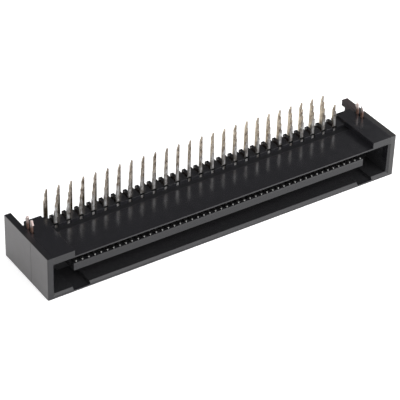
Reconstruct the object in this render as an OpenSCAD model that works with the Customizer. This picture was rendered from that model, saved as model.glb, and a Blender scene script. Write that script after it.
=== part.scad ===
// Right-angle shrouded header for a circuit board: one moulded housing, two board locks
// and four staggered rows of tails that rise from two rows of contacts on a tongue.
// X runs along the header, the mating opening looks along -Y and the tails point along +Z.
// The origin is under the middle of the housing, on the face it rests on.

/* [Contacts] */
// Number of contact positions, each with an upper and a lower contact
positions = 50; // [10:1:50]
// Spacing of the positions along the header
pitch = 1.27; // [1.15:0.01:1.6]
// Width of the contact strip, along the header
contact_w = 0.48; // [0.3:0.01:0.5]
// Thickness of the contact strip
contact_t = 0.36; // [0.2:0.01:0.4]
// Inside radius of the bend from blade to tail
bend_r = 0.3; // [0.2:0.05:0.5]
// Free play between a contact and its channel, on each side
contact_fit = 0.02; // [0.01:0.01:0.05]
// Depth of a blade's inner face below the face of the tongue
blade_seat = 0.05; // [0.02:0.01:0.1]
// Distance of an upper blade's nose behind the front of the tongue
nose_inset = 0.1; // [0.05:0.05:0.5]
// Distance of a lower blade's nose behind the upper one's
nose_stagger = 0.25; // [0:0.05:0.5]
// Width of a blade at its nose
nose_w = 0.15; // [0.1:0.05:0.25]
// Length over which a blade widens from its nose
nose_taper = 0.3; // [0.15:0.05:0.6]
// Length of the bevel on a blade's nose
nose_len = 0.15; // [0.1:0.05:0.6]
// Height of the bevel on a blade's nose
nose_h = 0.15; // [0.1:0.01:0.2]

/* [Tails] */
// Distance from the mating face to the middle of the first row of tails
first_row_y = 9.1; // [9:0.05:12]
// Spacing of the four rows of tails
row_spacing = 1.905; // [1.6:0.005:2.6]
// Height of the tail tips above the seating pads
tail_rise = 3; // [2:0.05:4.5]
// Height of the slanted cut at a tail's tip
tip_len = 1.1; // [0.6:0.05:1.6]
// Width of a tail at its very tip
tip_w = 0.1; // [0.05:0.01:0.25]

/* [Housing] */
// Height from the resting face to the seating pads
housing_h = 8.85; // [8.4:0.05:10]
// Distance from the end of the housing to the first contact position
end_margin = 6.785; // [6.7:0.005:9]
// Height of the pads above the roof of the mating opening
pad_rise = 1.2; // [0.8:0.05:1.6]
// Length of each seating pad, along the header
pad_len = 5.45; // [5:0.05:6]
// Height of the pads above the comb
comb_drop = 0.45; // [0.2:0.05:0.6]
// Bevel on the comb's rear top edge
comb_bevel = 0.15; // [0.05:0.05:0.3]
// Width of a comb slot
slot_w = 0.68; // [0.6:0.01:0.9]
// Gap between the front of a slot and its tail
slot_gap = 0.15; // [0.1:0.05:0.6]
// Height of the bridge across each slot of the first row
bridge_h = 0.3; // [0.15:0.05:0.45]
// Thickness of a bridge
bridge_t = 0.15; // [0.1:0.05:0.3]
// Height of a bridge's top above the comb
bridge_rise = 0.25; // [0:0.05:0.25]
// Width of a bridge's grip on the fins, on each side of its slot
bridge_lap = 0.1; // [0.05:0.05:0.3]
// Plastic behind the second row of tails
rear_wall = 0.865; // [0.4:0.005:1]
// Radius of the upright edges at the mating face
corner_r = 0.25; // [0.1:0.05:0.6]
// Distance from the mating face to the parting line on the ends
parting_y = 5.95; // [4:0.05:7]
// Width of the parting line
parting_w = 0.1; // [0.06:0.01:0.15]
// Depth of the parting line
parting_cut = 0.04; // [0.02:0.01:0.08]

/* [Mating opening] */
// Thickness of the walls at the ends of the opening
end_wall = 1.5; // [1.3:0.05:1.6]
// Thickness of the wall on the resting side
floor_t = 0.85; // [0.75:0.05:1.2]
// Thickness of the roof
roof_t = 0.65; // [0.6:0.05:0.8]
// Depth of the opening
cavity_depth = 6.6; // [5:0.1:6.8]
// Width of the lead-in slope around the mouth
lead_in = 0.4; // [0.1:0.05:0.45]
// Depth of the lead-in slope
lead_depth = 0.4; // [0.2:0.05:1]
// Distance from the end of the housing to a keyway
keyway_inset = 5.1; // [3:0.05:6]
// Width of a keyway in the floor
keyway_w = 3.35; // [2:0.05:4]
// Plastic left under a keyway
keyway_skin = 0.3; // [0.25:0.05:0.4]

/* [Tongue] */
// Height of the middle of the tongue above the resting face
tongue_z = 3.8; // [3.5:0.05:4.1]
// Thickness of the tongue
tongue_t = 1.6; // [1.4:0.05:2]
// Distance of the tongue's front behind the mating face
tongue_setback = 1.75; // [1:0.05:2.5]
// Length of the tongue past the first and the last position
tongue_margin = 0.58; // [0.5:0.005:1.2]
// Depth of the bevels on the tongue's front edges
tongue_bevel = 0.05; // [0.05:0.05:0.3]

/* [Wings] */
// Depth of the wings past the last row of tails
wing_cover = 0.505; // [0.1:0.005:1]
// Width of a wing's flange, along the header
wing_w = 1.3; // [1:0.05:1.5]
// Height of a wing's flange
wing_flange = 1.25; // [0.8:0.05:2]
// Thickness of a wing's outer wall
wing_wall = 0.45; // [0.35:0.05:0.8]
// Width of the notch between a wing and its seating pad
notch_w = 0.7; // [0.4:0.05:0.9]
// Depth of that notch from the rear of the housing
notch_len = 1.05; // [0.6:0.05:1.1]

/* [Board locks] */
// Distance from the end of the housing to the middle of a lock
lock_inset = 1.75; // [1.4:0.05:3]
// Distance of a lock's middle behind the first row of tails
lock_back = 0.2; // [0:0.05:0.6]
// Thickness of the lock's sheet metal
lock_t = 0.35; // [0.25:0.05:0.5]
// Width of one leg of a lock
leg_w = 0.45; // [0.4:0.05:0.6]
// Gap between the two legs of a lock
leg_gap = 1; // [0.6:0.05:1.1]
// Height of the legs above the seating pads
lock_rise = 2.5; // [2.1:0.1:4]
// Height of a leg's barbed head
head_h = 1.2; // [0.9:0.1:1.6]
// Reach of the barb past the outside of its leg
barb = 0.35; // [0.15:0.05:0.45]
// Width of the shoulder on each side of the lock's base
shoulder = 0.45; // [0.2:0.05:0.55]
// Height of the lock's base
base_h = 1.1; // [0.8:0.1:1.6]
// Depth of the base below the seating pads
base_sink = 0.8; // [0.5:0.1:1.2]
// Free play between a lock and its pocket, on each side
lock_fit = 0.03; // [0.01:0.01:0.06]
// Extra width of the pocket's mouth, on each side of the sheet
mouth_gap = 0.05; // [0.05:0.05:0.3]

/* [Hidden] */
cut = 0.5;
span = (positions - 1) * pitch;
half_len = span / 2 + end_margin;
tail_rows = 4;
row_y = [for (r = [0 : tail_rows - 1]) first_row_y + r * row_spacing];
body_depth = row_y[1] + contact_t / 2 + rear_wall;
housing_depth = row_y[tail_rows - 1] + contact_t / 2 + wing_cover;
roof_z = housing_h - pad_rise;
ceiling_z = roof_z - roof_t;
comb_z = housing_h - comb_drop;
comb_y = first_row_y - contact_t / 2 - slot_gap;
tongue_half = span / 2 + tongue_margin;
blade_offset = tongue_t / 2 - blade_seat + contact_t / 2;
upper_z = tongue_z + blade_offset;
lower_z = tongue_z - blade_offset;
upper_nose_y = tongue_setback + nose_inset;
lower_nose_y = upper_nose_y + nose_stagger;
tip_z = housing_h + tail_rise;
bend_out = bend_r + contact_t;
channel_w = contact_w + 2 * contact_fit;
channel_t = contact_t + 2 * contact_fit;
lock_y = first_row_y + lock_back;
lock_half = leg_gap / 2 + leg_w + shoulder;
lock_base_z = housing_h - base_sink - base_h;

// Name of the contact pair at position i, counted from the left
function pair_name(i) = str("contact_pair_", i < 10 ? "0" : "", i);

// Place of position i along the header, and the rows that its two tails stand in
function place_x(i) = (i - 1) * pitch - span / 2;
function upper_row(i) = (i - 1) % 2;
function lower_row(i) = upper_row(i) + 2;

// Box between two corners, given in depth from the mating face
module block(low, high) {
    translate([low[0], low[1] - housing_depth / 2, low[2]])
        cube([high[0] - low[0], high[1] - low[1], high[2] - low[2]]);
}

// Extrusion along the header of an outline drawn as depth and height
module along_x(width) {
    translate([-width / 2, -housing_depth / 2, 0])
        rotate([90, 0, 90]) linear_extrude(width) children();
}

// Extrusion from the mating face backwards of an outline drawn as X and height
module backwards(depth) {
    translate([0, depth - housing_depth / 2, 0])
        rotate([90, 0, 0]) linear_extrude(depth) children();
}

// Copy at both ends of the header
module both_ends() {
    children();
    mirror([1, 0, 0]) children();
}

// Side view of one contact: blade with a bevel on its outer face, bend and tail
module contact_side(nose_y, blade_z, tail_y, outer) {
    face = blade_z + outer * contact_t / 2;
    back_face = blade_z - outer * contact_t / 2;
    front = tail_y - contact_t / 2;
    bend_y = front - bend_r;
    bend_z = blade_z + contact_t / 2 + bend_r;
    polygon([
        [nose_y, back_face], [bend_y, back_face], [bend_y, face],
        [nose_y + nose_len, face], [nose_y, face - outer * nose_h]
    ]);
    translate([bend_y, bend_z]) intersection() {
        difference() {
            circle(r = bend_out, $fn = 48);
            circle(r = bend_r, $fn = 48);
        }
        translate([0, -bend_out]) square(bend_out);
    }
    translate([front, bend_z]) square([contact_t, tip_z - bend_z]);
}

// Front view of one contact: the strip's width, cut to a slant at the tail's tip
module contact_front() {
    half = contact_w / 2;
    polygon([
        [-half, 0], [half, 0], [half, tip_z], [half - tip_w, tip_z], [-half, tip_z - tip_len]
    ]);
}

// Top view of one contact: the strip's width, narrower at the blade's nose
module contact_top(nose_y) {
    half = contact_w / 2;
    wide_y = nose_y + nose_taper;
    polygon([
        [-nose_w / 2, nose_y], [nose_w / 2, nose_y], [half, wide_y], [half, housing_depth],
        [-half, housing_depth], [-half, wide_y]
    ]);
}

module contact(nose_y, blade_z, tail_y, outer) {
    intersection() {
        along_x(contact_w) contact_side(nose_y, blade_z, tail_y, outer);
        backwards(housing_depth) contact_front();
        translate([0, -housing_depth / 2, 0]) linear_extrude(tip_z) contact_top(nose_y);
    }
}

// Upper and lower contact of one position
module contact_pair(i) {
    color([0.8, 0.78, 0.74]) translate([place_x(i), 0, 0]) {
        contact(upper_nose_y, upper_z, row_y[upper_row(i)], 1);
        contact(lower_nose_y, lower_z, row_y[lower_row(i)], -1);
    }
}

// Seating pads, lowered roof and floor as one outline
module body_outline() {
    polygon([
        [-half_len, 0], [half_len, 0], [half_len, housing_h], [half_len - pad_len, housing_h],
        [half_len - pad_len, roof_z], [pad_len - half_len, roof_z],
        [pad_len - half_len, housing_h], [-half_len, housing_h]
    ]);
}

// Raised comb whose fins guide the first two rows of tails
module comb() {
    low = roof_z - cut;
    along_x(2 * (half_len - pad_len)) polygon([
        [comb_y, low], [comb_y, comb_z], [body_depth - comb_bevel, comb_z],
        [body_depth, comb_z - comb_bevel], [body_depth, low]
    ]);
}

// Thin end wall with a flange at pad height, behind the body
module wing() {
    block([-half_len, body_depth - cut, 0], [wing_wall - half_len, housing_depth, housing_h]);
    block(
        [-half_len, body_depth - cut, housing_h - wing_flange],
        [wing_w - half_len, housing_depth, housing_h]
    );
}

// Tongue with bevelled front edges
module tongue() {
    low = tongue_z - tongue_t / 2;
    high = tongue_z + tongue_t / 2;
    along_x(2 * tongue_half) polygon([
        [tongue_setback, low + tongue_bevel], [tongue_setback, high - tongue_bevel],
        [tongue_setback + tongue_bevel, high], [cavity_depth + cut, high],
        [cavity_depth + cut, low], [tongue_setback + tongue_bevel, low]
    ]);
}

// Mating opening, with a lead-in slope all around its mouth
module mating_opening() {
    inner = half_len - end_wall;
    mouth = inner + lead_in;
    difference() {
        intersection() {
            along_x(2 * mouth) polygon([
                [-cut, floor_t - lead_in], [0, floor_t - lead_in], [lead_depth, floor_t],
                [cavity_depth, floor_t], [cavity_depth, ceiling_z], [lead_depth, ceiling_z],
                [0, ceiling_z + lead_in], [-cut, ceiling_z + lead_in]
            ]);
            translate([0, -housing_depth / 2, 0]) linear_extrude(housing_h) polygon([
                [-mouth, -cut], [mouth, -cut], [mouth, 0], [inner, lead_depth],
                [inner, cavity_depth], [-inner, cavity_depth], [-inner, lead_depth], [-mouth, 0]
            ]);
        }
        tongue();
    }
}

// Keyway along the floor of the opening
module keyway() {
    start = keyway_inset - half_len;
    block([start, -cut, keyway_skin], [start + keyway_w, cavity_depth, floor_t + cut]);
}

// Material outside the rounded upright edge at the mating face
module edge_round() {
    corner = [-half_len + corner_r, corner_r - housing_depth / 2, -cut];
    translate(corner) difference() {
        translate([-corner_r - cut, -corner_r - cut, 0])
            cube([corner_r + cut, corner_r + cut, housing_h + 2 * cut]);
        cylinder(h = housing_h + 2 * cut, r = corner_r, $fn = 48);
    }
}

// Notch between a wing and its seating pad, open to the rear
module wing_notch() {
    start = wing_w - half_len;
    block(
        [start, body_depth - notch_len, -cut],
        [start + notch_w, body_depth + cut, housing_h + cut]
    );
}

// Parting line of the mould, up one end of the housing
module parting_line() {
    block(
        [-half_len - cut, parting_y - parting_w / 2, -cut],
        [parting_cut - half_len, parting_y + parting_w / 2, housing_h + cut]
    );
}

// Grooves of a position in the tongue, closed at the front
module grooves() {
    half = channel_w / 2;
    depth = blade_seat + contact_fit;
    block(
        [-half, upper_nose_y - contact_fit, tongue_z + tongue_t / 2 - depth],
        [half, cavity_depth, tongue_z + tongue_t / 2 + cut]
    );
    block(
        [-half, lower_nose_y - contact_fit, tongue_z - tongue_t / 2 - cut],
        [half, cavity_depth, tongue_z - tongue_t / 2 + depth]
    );
}

// Slot of the first row, open at the front and to the rear
module front_slot() {
    block([-slot_w / 2, comb_y - cut, roof_z], [slot_w / 2, body_depth + cut, comb_z + cut]);
}

// Bridge that keeps a first-row tail in its slot
module bridge() {
    half = slot_w / 2 + bridge_lap;
    back = row_y[0] - channel_t / 2;
    top = comb_z + bridge_rise;
    block([-half, back - bridge_t, top - bridge_h], [half, back, top]);
}

// Slot of the second row, open to the rear
module rear_slot() {
    start = row_y[1] - contact_t / 2 - slot_gap;
    block([-slot_w / 2, start, roof_z], [slot_w / 2, body_depth + cut, comb_z + cut]);
}

// Channels of a position through the body, and its slot in the comb
module channels(i) {
    half = channel_w / 2;
    half_t = channel_t / 2;
    tail_y = row_y[upper_row(i)];
    front = cavity_depth - cut;
    block([-half, front, upper_z - half_t], [half, tail_y + half_t, upper_z + half_t]);
    block([-half, tail_y - half_t, upper_z - half_t], [half, tail_y + half_t, roof_z + cut]);
    translate([0, tail_y - half_t - bend_r - housing_depth / 2, upper_z + half_t])
        bend_relief(half);
    block([-half, front, lower_z - half_t], [half, body_depth + cut, lower_z + half_t]);
    if (upper_row(i) == 0) front_slot(); else rear_slot();
}

// Room for the inside of a bend
module bend_relief(half) {
    translate([-half, 0, -contact_fit]) rotate([90, 0, 90]) linear_extrude(2 * half)
        polygon([[0, 0], [bend_r + cut, 0], [bend_r + cut, bend_r + cut]]);
}

// Pocket for a board lock
module lock_pocket() {
    mouth = lock_t / 2 + mouth_gap;
    base = lock_t / 2 + lock_fit;
    translate([lock_inset - half_len, 0, 0]) {
        block(
            [-base, lock_y - lock_half - lock_fit, lock_base_z],
            [base, lock_y + lock_half + lock_fit, housing_h + cut]
        );
        block(
            [-mouth, lock_y - lock_half - lock_fit, housing_h - base_sink],
            [mouth, lock_y + lock_half + lock_fit, housing_h + cut]
        );
    }
}

module housing() {
    color([0.16, 0.16, 0.17]) {
        difference() {
            union() {
                backwards(body_depth) body_outline();
                comb();
                both_ends() wing();
            }
            mating_opening();
            both_ends() {
                keyway();
                edge_round();
                wing_notch();
                parting_line();
                lock_pocket();
            }
            for (i = [1 : positions]) translate([place_x(i), 0, 0]) {
                grooves();
                channels(i);
            }
        }
        for (i = [1 : tail_rows / 2 : positions]) translate([place_x(i), 0, 0]) bridge();
    }
}

// Half outline of a lock, from its middle: base, shoulder and a leg with an outward barb
function lock_side() =
    let (
        inner = leg_gap / 2,
        outer = inner + leg_w,
        base_top = lock_base_z + base_h,
        top = housing_h + lock_rise,
        barb_z = top - head_h
    )
    [
        [lock_half, lock_base_z], [lock_half, base_top], [outer, base_top],
        [outer, barb_z], [outer + barb, barb_z + barb], [outer, top - leg_w / 2],
        [outer - leg_w / 3, top], [inner + leg_w / 4, top], [inner, top - leg_w / 2],
        [inner, base_top]
    ];

// Flat fork that clips into the board, on a base held in the pad
module board_lock() {
    side = lock_side();
    other_side = [for (k = [len(side) - 1 : -1 : 0]) [-side[k][0], side[k][1]]];
    color([0.72, 0.45, 0.32]) translate([lock_inset - half_len, 0, 0])
        along_x(lock_t) translate([lock_y, 0]) polygon(concat(side, other_side));
}

module board_lock_left() {
    board_lock();
}

module board_lock_right() {
    mirror([1, 0, 0]) board_lock();
}

housing();
board_lock_left();
board_lock_right();
for (i = [1 : positions])
    contact_pair(i);
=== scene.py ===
import math

import bpy
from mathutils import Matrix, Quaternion, Vector


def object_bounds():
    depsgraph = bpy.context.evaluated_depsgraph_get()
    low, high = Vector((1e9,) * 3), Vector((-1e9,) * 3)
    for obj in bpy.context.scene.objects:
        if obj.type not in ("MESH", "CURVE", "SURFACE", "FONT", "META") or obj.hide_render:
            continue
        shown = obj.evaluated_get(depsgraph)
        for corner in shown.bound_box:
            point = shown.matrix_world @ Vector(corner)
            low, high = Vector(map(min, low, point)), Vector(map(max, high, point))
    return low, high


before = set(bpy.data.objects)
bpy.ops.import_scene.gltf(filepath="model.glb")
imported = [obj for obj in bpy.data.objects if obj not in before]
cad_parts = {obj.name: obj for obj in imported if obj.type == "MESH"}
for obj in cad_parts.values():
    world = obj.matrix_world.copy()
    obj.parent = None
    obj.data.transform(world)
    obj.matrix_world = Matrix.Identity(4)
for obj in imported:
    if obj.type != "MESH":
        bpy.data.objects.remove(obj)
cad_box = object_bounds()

MM = 0.001

# Camera at the photograph's angle: it looks along the header from its left front, from above
CAM_AZIMUTH = math.radians(34.342)
CAM_ELEVATION = math.radians(35.286)
CAM_ROLL = math.radians(1.904)
CAM_PLACE = Vector((-157.30, -228.03, 198.85)) * MM
CAM_FOCAL_PX = 1834.3
CAM_SHIFT_PX = (0.25, 0.4)
CAM_NEAREST = 10 * MM
PHOTO_PX = 400
SENSOR_MM = 36.0

# Floor and world. Each has a strength of its own for the camera and another where the part
# mirrors it. The floor's mirrored strength changes along the header, over a span in
# millimetres.
FLOOR_HALF = 1.5
FLOOR_DROP = 0.02 * MM
FLOOR_WHITE = (0.9, 0.9, 0.9, 1)
FLOOR_ROUGHNESS = 0.9
FLOOR_GLOW = 0.6
FLOOR_MIRRORED = (0.22, 0.38)
FLOOR_MIRRORED_SPAN = (-40.0, 40.0)
WORLD_WHITE = (1, 1, 1, 1)
WORLD_SHOWN = 1.0
WORLD_LIGHT = 0.65
WORLD_MIRRORED = 0.07

# Soft lamps: name, place, target and size in metres, power in watts
LAMPS = (
    ("key", (0.22, -0.33, 0.4), (0, 0, 0.005), 0.47, 1.1),
    ("front", (0.2, -0.26, 0.07), (0.02, 0, 0.005), 0.15, 0.37),
    ("side", (-0.4, -0.42, 0.08), (0, 0, 0.005), 0.25, 0.5),
    ("rear", (0.56, 0.33, 0.36), (0.03, 0, 0.008), 0.3, 0.19),
)

# Colours of the plastic
BLACK_LOW = (0.015, 0.015, 0.0175, 1)
BLACK_HIGH = (0.0185, 0.018, 0.0215, 1)
# Painted light: the right end's strip is greyer, as where light from the right falls on it.
STRIP_PAINTED_LIGHT = (0.034, 0.033, 0.034, 1)
# Painted reflection and light: the right wing's inner faces are brownish, as if mirroring brown
# surroundings and lit from the right.
WING_PAINTED_REFLECTION = (0.062, 0.05, 0.051, 1)
# Painted light: the end faces are light grey, as where light from the side falls on them.
END_PAINTED_LIGHT = (0.121, 0.115, 0.118, 1)
# Painted light: the inside of the mating opening is greyer than the black, and paler above the
# tongue, in place of light reaching in.
INTERIOR_PAINTED_LIGHT = (0.027, 0.027, 0.029, 1)
INTERIOR_PAINTED_LIGHT_HIGH = (0.044, 0.043, 0.047, 1)
# Painted shade: the comb's bridges are near black, like a shadowed gap in front of the tails.
BRIDGE_PAINTED_SHADE = (0.003, 0.003, 0.003, 1)
# Painted light: the insides of the comb's slots are lighter and warmer brown than the black
# plastic.
SLOT_PAINTED_LIGHT = (0.055, 0.045, 0.042, 1)
# Painted shade: a dark line on the roof along the comb's foot, where shadow gathers.
FOOT_PAINTED_SHADE = (0.018, 0.018, 0.02, 1)

# Surface of the plastic. A noise is its cells per millimetre, detail and roughness, and
# grain heights and the softened edge are in millimetres.
MOTTLE = (0.7, 3.0, 0.6)
GRAIN = (6.0, 2.0, 0.6)
SKIN_ROUGHNESS = (0.16, 0.22)
STRIP_ROUGHNESS_GAIN = 0.14
DULL_ROUGHNESS_GAIN = 0.3
SHEEN = 0.5
DULL_SHEEN_LOSS = 0.42
PLASTIC_IOR = 1.62
SKIN_GRAIN = 0.002
STRIP_GRAIN = 0.008
GRAIN_STRENGTH = 0.5
PLASTIC_EDGE = 0.07

# Tints of the metals
PLAIN = (1, 1, 1, 1)
CLEAN_TIN = (0.8, 0.8, 0.82, 1)
# Painted light and shade on the tails behind the first row: darker brown on the left, lighter
# on the right, and lighter on faces to the front.
LEFT_SHADED_TIN = (0.66, 0.58, 0.5, 1)
RIGHT_LIT_TIN = (0.92, 0.82, 0.67, 1)
FRONT_LIT_TIN = (0.97, 0.9, 0.82, 1)
# The board lock below its heads: its own copper tone, darkened with painted shade.
LOCK_COPPER_AND_SHADE = (0.42, 0.29, 0.24, 1)
SHADED_TIN = (0.2, 0.17, 0.13, 1)
# Painted shade: the contact blades inside the mating opening are a dark grey metal, as darkened
# by the opening's shade.
BLADE_SHADED_METAL = (0.22, 0.22, 0.215, 1)

# Surface of the metals, in the same terms. The streaks are noise drawn out in height, along
# the tails.
STREAK_STRETCH = (5.0, 5.0, 0.7)
STREAK = (1.0, 3.0, 0.6)
PATCH = (1.2, 2.0, 0.5)
BRIGHT_RANGE = (0.4, 0.58)
METALLIC = 0.72
BLADE_METALLIC_GAIN = 0.2
BLADE_POLISH = 0.6
STREAK_DEPTH = 0.01
STREAK_STRENGTH = 0.6
METAL_EDGE = 0.05

# The middle stretch where most noise lies, the samples of a softened edge, how far a face's
# normal leans to a side to count as facing it, and the sockets of the node that mixes colours
NOISE_MIDDLE = (0.3, 0.7)
EDGE_SAMPLES = 4
FACING = 0.6
FACING_SOFT = 0.2
MIX_FACTOR, MIX_LOW, MIX_HIGH, MIX_RESULT = 0, 6, 7, 2

# Places where the colour or the surface changes, in millimetres, each with the half width of
# its soft edge: first those along the header, then in depth, then in height. The end and the
# mating face, from which most are set off, come from the frame.
END = cad_box[1][0] / MM
FRONT = cad_box[0][1] / MM
END_FACE = (END - 0.05, 0.03)
END_STRIP = (END - 1.2, 0.1)
WING_SIDE = (END - 1.35, 0.02)
OPENING_HALF = (END - 1.45, 0.02)
COMB_HALF = (END - 5.5, 0.02)
PALE_FROM = (4.0, 8.0)
MOUTH = (FRONT + 0.45, 0.05)
TONGUE_FRONT = (FRONT + 1.85, 0.03)
OPENING_BACK = (FRONT + 6.75, 0.1)
COMB_FOOT = (FRONT + 7.65, 0.15)
COMB_FRONT = (FRONT + 9.0, 0.05)
FIRST_ROW_BACK = (FRONT + 10.05, 0.35)
WING_START = (FRONT + 10.95, 0.05)
BODY_BACK = (FRONT + 12.05, 0.1)
OPENING_FLOOR = (0.1, 0.05)
TONGUE_LOW = (2.9, 0.05)
TONGUE_TOP = (4.7, 0.05)
CEILING = (7.05, 0.02)
FOOT_LOW = (7.5, 0.02)
ROOF = (7.7, 0.02)
SLOT_TOP = (8.37, 0.01)
COMB_TOP = (8.42, 0.02)
SHADE_TOP = (9.7, 0.35)
LOCK_HEADS = (10.1, 0.35)

# Metals: dark and bright colour, roughness, the axis and the place where the tint changes,
# and the tints: before the place, after it on the left and on the right, and after it on
# faces to the front. On the tails the tints after the place are painted light and shade.
TIN = {
    "colours": ((0.34, 0.3, 0.26, 1), (0.97, 0.96, 0.94, 1)),
    "roughness": (0.22, 0.42),
    "axis": "Y",
    "place": FIRST_ROW_BACK,
    "tints": (CLEAN_TIN, LEFT_SHADED_TIN, RIGHT_LIT_TIN, FRONT_LIT_TIN),
}
BRONZE = {
    "colours": ((0.62, 0.48, 0.45, 1), (0.95, 0.87, 0.84, 1)),
    "roughness": (0.25, 0.45),
    "axis": "Z",
    "place": LOCK_HEADS,
    "tints": (LOCK_COPPER_AND_SHADE, PLAIN, PLAIN, PLAIN),
}


def node_tree(material):
    """Clears the nodes of a material or a world, and gives a helper that adds one."""
    material.use_nodes = True
    tree = material.node_tree
    tree.nodes.clear()

    def add(kind, inputs=None, **settings):
        node = tree.nodes.new(kind)
        for name, value in settings.items():
            setattr(node, name, value)
        for name, value in (inputs or {}).items():
            if isinstance(value, bpy.types.NodeSocket):
                tree.links.new(value, node.inputs[name])
            else:
                node.inputs[name].default_value = value
        return node

    return add


def millimetres(add):
    """Object coordinates in millimetres."""
    place = add("ShaderNodeTexCoord")
    return add(
        "ShaderNodeVectorMath", {0: place.outputs["Object"], "Scale": 1 / MM}, operation="SCALE"
    ).outputs["Vector"]


def separated(add, vector):
    """The X, Y and Z of a vector."""
    return add("ShaderNodeSeparateXYZ", {"Vector": vector}).outputs


def noise(add, place, scale, detail, rough):
    """Noise from 0 to 1 with a given number of cells per millimetre."""
    return add(
        "ShaderNodeTexNoise",
        {"Vector": place, "Scale": scale, "Detail": detail, "Roughness": rough},
    ).outputs["Fac"]


def remapped(add, value, old, new=(0.0, 1.0)):
    """A value mapped from one range to another, and held at its ends."""
    return add(
        "ShaderNodeMapRange",
        {
            "Value": value,
            "From Min": old[0],
            "From Max": old[1],
            "To Min": new[0],
            "To Max": new[1],
        },
    ).outputs["Result"]


def step(add, value, place, width):
    """0 below a place and 1 above it, with a soft edge."""
    return remapped(add, value, (place - width, place + width))


def math_node(add, operation, a, b=0.0):
    return add("ShaderNodeMath", {0: a, 1: b}, operation=operation).outputs["Value"]


def chained(add, operation, values):
    """One operation over several values, such as their sum."""
    result = values[0]
    for value in values[1:]:
        result = math_node(add, operation, result, value)
    return result


def total(add, *values):
    return chained(add, "ADD", values)


def product(add, *values):
    """Product of values, or the overlap of masks."""
    return chained(add, "MULTIPLY", values)


def largest(add, *values):
    """Largest of values, or the union of masks."""
    return chained(add, "MAXIMUM", values)


def inverse(add, mask):
    """1 where a mask is 0, and 0 where it is 1."""
    return math_node(add, "SUBTRACT", 1.0, mask)


def colour_mix(add, factor, low, high, **settings):
    """A colour between two others; each is a colour or a socket."""
    inputs = {MIX_FACTOR: factor, MIX_LOW: low, MIX_HIGH: high}
    return add("ShaderNodeMix", inputs, data_type="RGBA", **settings).outputs[MIX_RESULT]


def tinted(add, colour, tint):
    """A colour multiplied by a tint."""
    return colour_mix(add, 1.0, colour, tint, blend_type="MULTIPLY")


def painted(add, colour, *coats):
    """A colour with others laid over it in turn, each where its mask is 1."""
    for mask, coat in coats:
        colour = colour_mix(add, mask, colour, coat)
    return colour


def softened(add, edge, height, strength):
    """Normal with softened edges and a bump, whose sizes are in millimetres."""
    soft_edge = add("ShaderNodeBevel", {"Radius": edge * MM}, samples=EDGE_SAMPLES)
    return add(
        "ShaderNodeBump",
        {
            "Height": height,
            "Distance": MM,
            "Strength": strength,
            "Normal": soft_edge.outputs["Normal"],
        },
    ).outputs["Normal"]


def give_surface(add, inputs):
    """Principled shader with these inputs, joined to the material's output."""
    shader = add("ShaderNodeBsdfPrincipled", inputs)
    add("ShaderNodeOutputMaterial", {"Surface": shader.outputs["BSDF"]})


def interior_mask(add, along, y, z):
    """Surfaces inside the mating opening, apart from the front of the tongue."""
    beyond = largest(
        add, step(add, y, *OPENING_BACK), step(add, z, *CEILING),
        step(add, along, *OPENING_HALF), inverse(add, step(add, z, *OPENING_FLOOR)),
    )
    tongue_face = product(
        add, inverse(add, step(add, y, *TONGUE_FRONT)), step(add, z, *TONGUE_LOW)
    )
    left_out = largest(add, beyond, tongue_face)
    return product(add, step(add, y, *MOUTH), inverse(add, left_out))


def comb_masks(add, along, y, z):
    """The comb's bridges, the insides of its slots, and the dark line along its foot, where
    painted shade and light go.
    """
    between_ends = inverse(add, step(add, along, *COMB_HALF))
    above_roof = step(add, z, *ROOF)
    behind_front = step(add, y, *COMB_FRONT)
    slot_height = math_node(add, "SUBTRACT", above_roof, step(add, z, *SLOT_TOP))
    bridges = product(add, step(add, z, *COMB_TOP), between_ends)
    slots = product(add, behind_front, slot_height, between_ends)
    foot = product(
        add, step(add, y, *COMB_FOOT), inverse(add, above_roof), step(add, z, *FOOT_LOW),
        inverse(add, behind_front), between_ends,
    )
    return bridges, slots, foot


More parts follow.
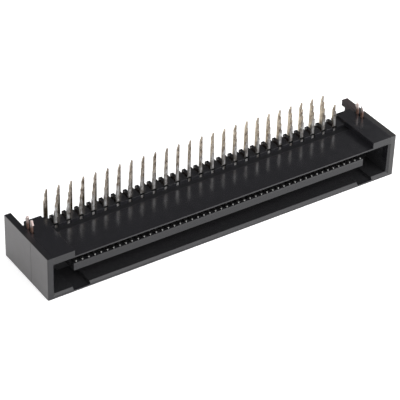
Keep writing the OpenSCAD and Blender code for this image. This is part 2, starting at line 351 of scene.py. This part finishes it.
def moulded_plastic():
    """Black glass-filled moulding: smooth satin skin, coarser at the ends. Painted light makes
    the end faces, the right end's strip and wing, the opening's inside and the comb's slots
    greyer; painted shade darkens the comb's bridges and a line along its foot.
    """
    material = bpy.data.materials.new("housing_plastic")
    add = node_tree(material)
    place = millimetres(add)
    x, y, z = separated(add, place)
    along = math_node(add, "ABSOLUTE", x)

    strip = step(add, along, *END_STRIP)
    end_face = step(add, along, *END_FACE)
    right = step(add, x, *WING_SIDE)
    wing = product(add, step(add, y, *WING_START), right, inverse(add, end_face))
    interior = interior_mask(add, along, y, z)
    above_tongue = step(add, z, *TONGUE_TOP)
    bridges, slots, foot = comb_masks(add, along, y, z)
    dull = largest(add, bridges, wing, foot)

    mottle = noise(add, place, *MOTTLE)
    grain = noise(add, place, *GRAIN)
    # Painted light and shade over the mottled black, each in its mask.
    colour = painted(
        add, BLACK_LOW,
        (remapped(add, mottle, NOISE_MIDDLE), BLACK_HIGH),
        (product(add, strip, right), STRIP_PAINTED_LIGHT),
        (wing, WING_PAINTED_REFLECTION),
        (end_face, END_PAINTED_LIGHT),
        (interior, colour_mix(add, above_tongue, INTERIOR_PAINTED_LIGHT, INTERIOR_PAINTED_LIGHT_HIGH)),
        (bridges, BRIDGE_PAINTED_SHADE),
        (slots, SLOT_PAINTED_LIGHT),
        (foot, FOOT_PAINTED_SHADE),
    )
    roughness = total(
        add, remapped(add, mottle, NOISE_MIDDLE, SKIN_ROUGHNESS),
        product(add, strip, STRIP_ROUGHNESS_GAIN), product(add, dull, DULL_ROUGHNESS_GAIN),
    )
    sheen = math_node(add, "SUBTRACT", SHEEN, product(add, dull, DULL_SHEEN_LOSS))
    height = total(
        add, product(add, grain, SKIN_GRAIN), product(add, grain, strip, STRIP_GRAIN)
    )
    give_surface(
        add,
        {
            "Base Color": colour,
            "Roughness": roughness,
            "IOR": PLASTIC_IOR,
            "Specular IOR Level": sheen,
            "Normal": softened(add, PLASTIC_EDGE, height, GRAIN_STRENGTH),
        },
    )
    return material


def facing_masks(add):
    """Faces to the front, and faces to the rear, up or down."""
    normal = separated(add, add("ShaderNodeNewGeometry").outputs["Normal"])
    upright = math_node(add, "ABSOLUTE", normal["Z"])
    to_front = inverse(add, step(add, normal["Y"], -FACING, FACING_SOFT))
    away = largest(
        add, step(add, normal["Y"], FACING, FACING_SOFT),
        step(add, upright, FACING, FACING_SOFT),
    )
    return to_front, away


def bare_metal(name, metal):
    """Stamped metal: streaks along the tails, uneven plating, softened edges, and a change of
    tint at a place along an axis, with tints of painted light and shade. On the left it is
    darker low behind the body with painted shade, except on faces to the rear, up or down.
    Inside the mating opening it is a darker plain grey of painted shade, and smoother."""
    material = bpy.data.materials.new(name)
    add = node_tree(material)
    place = millimetres(add)
    axes = separated(add, place)
    x, y, z = axes

    inside = inverse(add, step(add, y, *OPENING_BACK))
    to_right = step(add, x, *PALE_FROM)
    to_front, away = facing_masks(add)
    low_behind = product(
        add, step(add, y, *BODY_BACK), inverse(add, step(add, z, *SHADE_TOP)),
        inverse(add, largest(add, away, to_right)),
    )

    drawn = add("ShaderNodeMapping", {"Vector": place, "Scale": STREAK_STRETCH})
    streak = noise(add, drawn.outputs["Vector"], *STREAK)
    patch = noise(add, place, *PATCH)
    uneven = product(add, total(add, patch, streak), 0.5)
    bright = remapped(add, uneven, BRIGHT_RANGE)

    # Painted light and shade: the tint changes by side along the header and on faces to the
    # front.
    before, left, right, front = metal["tints"]
    after = painted(add, left, (to_right, right), (to_front, front))
    changed = step(add, axes[metal["axis"]], *metal["place"])
    colour = colour_mix(add, bright, *metal["colours"])
    colour = tinted(add, colour, colour_mix(add, changed, before, after))
    colour = tinted(add, colour, colour_mix(add, low_behind, PLAIN, SHADED_TIN))
    colour = colour_mix(add, inside, colour, BLADE_SHADED_METAL)
    roughness = product(
        add, remapped(add, streak, NOISE_MIDDLE, metal["roughness"]),
        inverse(add, product(add, inside, BLADE_POLISH)),
    )
    height = product(add, streak, STREAK_DEPTH)
    give_surface(
        add,
        {
            "Base Color": colour,
            "Metallic": total(add, product(add, inside, BLADE_METALLIC_GAIN), METALLIC),
            "Roughness": roughness,
            "Normal": softened(add, METAL_EDGE, height, STREAK_STRENGTH),
        },
    )
    return material


def dress(node, material):
    """Gives a CAD node its material."""
    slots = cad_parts[node].data.materials
    slots.clear()
    slots.append(material)


def build_floor():
    """White sheet that the header lies on. It glows for the camera, and keeps the shadow."""
    mesh = bpy.data.meshes.new("floor")
    corners = [
        (side * FLOOR_HALF, end * FLOOR_HALF, -FLOOR_DROP)
        for side, end in ((-1, -1), (1, -1), (1, 1), (-1, 1))
    ]
    mesh.from_pydata(corners, [], [(0, 1, 2, 3)])
    floor = bpy.data.objects.new("floor", mesh)
    bpy.context.scene.collection.objects.link(floor)

    material = bpy.data.materials.new("white_floor")
    add = node_tree(material)
    path = add("ShaderNodeLightPath").outputs
    across = separated(add, millimetres(add))["X"]
    mirrored = remapped(add, across, FLOOR_MIRRORED_SPAN, FLOOR_MIRRORED)
    shown = largest(add, path["Is Camera Ray"], path["Is Transmission Ray"])
    strength = total(
        add, product(add, shown, FLOOR_GLOW), product(add, path["Is Glossy Ray"], mirrored)
    )
    paper = add(
        "ShaderNodeBsdfPrincipled", {"Base Color": FLOOR_WHITE, "Roughness": FLOOR_ROUGHNESS}
    )
    glow = add("ShaderNodeEmission", {"Strength": strength})
    surface = add(
        "ShaderNodeAddShader", {0: paper.outputs["BSDF"], 1: glow.outputs["Emission"]}
    )
    add("ShaderNodeOutputMaterial", {"Surface": surface.outputs["Shader"]})
    mesh.materials.append(material)


def build_world():
    """White to the camera, soft light on the part, and dim where the part mirrors it."""
    world = bpy.data.worlds.new("studio")
    bpy.context.scene.world = world
    add = node_tree(world)
    path = add("ShaderNodeLightPath").outputs
    shown = largest(add, path["Is Camera Ray"], path["Is Transmission Ray"])
    strength = total(
        add, product(add, shown, WORLD_SHOWN),
        product(add, path["Is Glossy Ray"], WORLD_MIRRORED),
        product(add, path["Is Diffuse Ray"], WORLD_LIGHT),
    )
    back = add("ShaderNodeBackground", {"Color": WORLD_WHITE, "Strength": strength})
    add("ShaderNodeOutputWorld", {"Surface": back.outputs["Background"]})


def softbox(name, place, target, size, power):
    """Square soft light aimed at a point."""
    light = bpy.data.lights.new(name, "AREA")
    light.shape = "SQUARE"
    light.size = size
    light.energy = power
    lamp = bpy.data.objects.new(name, light)
    lamp.location = place
    aim = Vector(target) - Vector(place)
    lamp.rotation_euler = aim.to_track_quat("-Z", "Y").to_euler()
    bpy.context.scene.collection.objects.link(lamp)


def build_camera():
    """Camera with the photograph's place, direction, roll and focal length."""
    data = bpy.data.cameras.new("camera")
    data.sensor_width = SENSOR_MM
    data.lens = CAM_FOCAL_PX / PHOTO_PX * SENSOR_MM
    data.shift_x = CAM_SHIFT_PX[0] / PHOTO_PX
    data.shift_y = CAM_SHIFT_PX[1] / PHOTO_PX
    data.clip_start = CAM_NEAREST
    camera = bpy.data.objects.new("camera", data)
    level = math.cos(CAM_ELEVATION)
    forward = Vector((
        math.sin(CAM_AZIMUTH) * level,
        math.cos(CAM_AZIMUTH) * level,
        -math.sin(CAM_ELEVATION),
    ))
    turn = forward.to_track_quat("-Z", "Y") @ Quaternion((0, 0, 1), CAM_ROLL)
    camera.location = CAM_PLACE
    camera.rotation_mode = "QUATERNION"
    camera.rotation_quaternion = turn
    bpy.context.scene.collection.objects.link(camera)
    bpy.context.scene.camera = camera


plastic = moulded_plastic()
tin = bare_metal("contact_metal", TIN)
bronze = bare_metal("lock_bronze", BRONZE)
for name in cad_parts:
    if name.startswith("contact_pair"):
        dress(name, tin)
    elif name.startswith("board_lock"):
        dress(name, bronze)
    else:
        dress(name, plastic)

build_floor()
build_world()
for lamp in LAMPS:
    softbox(*lamp)
build_camera()

bpy.context.scene.view_settings.view_transform = "Standard"
